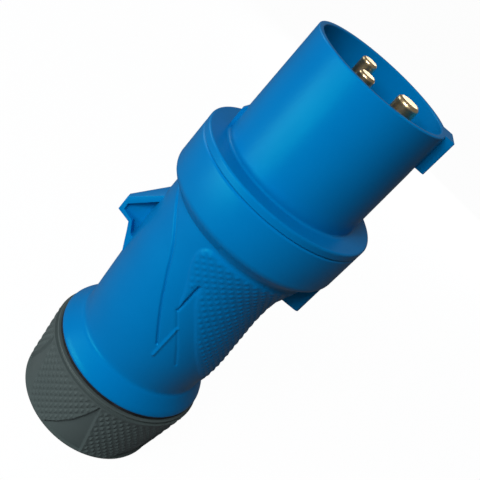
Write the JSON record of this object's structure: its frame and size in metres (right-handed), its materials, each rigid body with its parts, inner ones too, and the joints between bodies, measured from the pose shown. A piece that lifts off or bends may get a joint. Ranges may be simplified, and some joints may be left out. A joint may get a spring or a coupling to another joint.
{
  "type": "industrial pin and sleeve plug",
  "caption": "Splash-proof industrial power plug: keyed sleeve with contact pins, waisted handle with a hooked wing, and a cable gland nut that screws on.",
  "frame": {"origin": "centre of the cable entry in the gland nut's flat end, which the plug stands on", "axes": "+Z along the plug to the mouth of the sleeve, +X towards the key and the earth pin, -X towards the hooked wing"},
  "size_m": [0.0614, 0.0578, 0.148],
  "materials": {
    "housing": "satin blue polyamide",
    "carrier": "black polyamide",
    "contact": "bright turned brass",
    "screw": "zinc-plated",
    "seal": "matt",
    "gland": "satin dark grey polyamide"
  },
  "bodies": {
    "housing": {"front_shroud": "housing", "handle_shell": "housing", "contact_carrier": "carrier", "pin_retainer": "carrier", "earth_pin": "contact", "line_pin": "contact", "neutral_pin": "contact", "earth_pressure_plate": "screw", "line_pressure_plate": "screw", "neutral_pressure_plate": "screw", "earth_terminal_screw": "screw", "line_terminal_screw": "screw", "neutral_terminal_screw": "screw", "near_retainer_screw": "screw", "far_retainer_screw": "screw", "housing_screw": "screw", "housing_gasket": "seal", "nut_seal_ring": "seal", "gland_seal": "seal", "clamp_claws": "gland"},
    "ring": {"thrust_ring": "gland"},
    "nut": {"gland_nut": "gland"}
  },
  "joints": [
    {"name": "nut_travel", "type": "slide", "parent": "housing", "child": "ring", "axis": [0, 0, 1], "range_m": [-0.006, 0]},
    {"name": "nut_turn", "type": "hinge", "parent": "ring", "child": "nut", "pos_m": [0, 0, 0.003], "axis": [0, 0, 1], "range_deg": [-720, 0]}
  ],
  "couplings": [
    {"joint": "nut_travel", "follows": "nut_turn", "m_per_rad": 0.000477}
  ]
}
